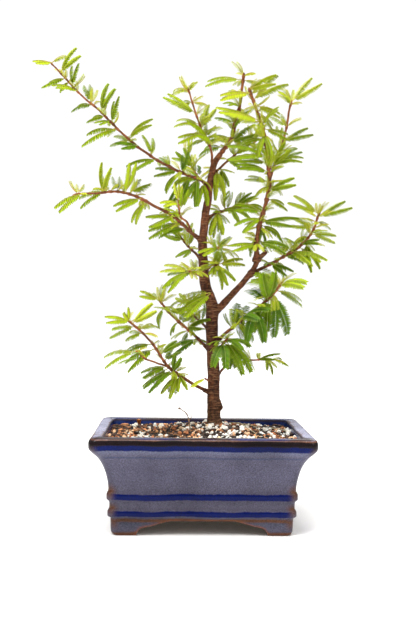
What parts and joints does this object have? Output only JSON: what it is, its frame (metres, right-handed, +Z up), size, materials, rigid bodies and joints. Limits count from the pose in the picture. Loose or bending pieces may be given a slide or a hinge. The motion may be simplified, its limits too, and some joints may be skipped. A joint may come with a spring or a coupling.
{
  "type": "powder puff bonsai in a glazed tray",
  "caption": "Young bonsai with feathery leaves in forked pairs on thin twigs, in a rectangular glazed tray with a rolled rim, ribbed wall and bracket feet.",
  "frame": {"origin": "on the plane that the four feet stand on, under the middle of the tray, which is also the middle of the whole plant's footprint", "axes": "+Z up, along the trunk; +X to the right along the tray's long side; -Y towards the front, the side the picture shows"},
  "size_m": [0.241, 0.1237, 0.3456],
  "materials": {
    "glaze": "gloss",
    "screen_plastic": "matte",
    "growing_mix": "matte",
    "bark": "matte",
    "foliage": "satin"
  },
  "bodies": {
    "root": {"tray": "glaze", "drain_screen_left": "screen_plastic", "drain_screen_right": "screen_plastic", "soil": "growing_mix", "trunk": "bark", "dry_twig": "bark", "shoot_upper_left": "foliage", "shoot_middle_left": "foliage", "shoot_lower_left": "foliage", "shoot_lower_left_back": "foliage", "shoot_inner_left": "foliage", "shoot_top_left": "foliage", "shoot_leader": "foliage", "shoot_top_back": "foliage", "shoot_right_rise": "foliage", "shoot_right_reach": "foliage", "shoot_right_back": "foliage", "shoot_lower_right": "foliage", "shoot_lower_right_back": "foliage", "shoot_back_low": "foliage", "shoot_back_middle": "foliage", "shoot_back_high": "foliage", "tuft_front_low": "foliage", "tuft_front_middle": "foliage", "tuft_right_middle": "foliage", "tuft_front_high": "foliage", "tuft_trunk_low": "foliage"}
  },
  "joints": []
}
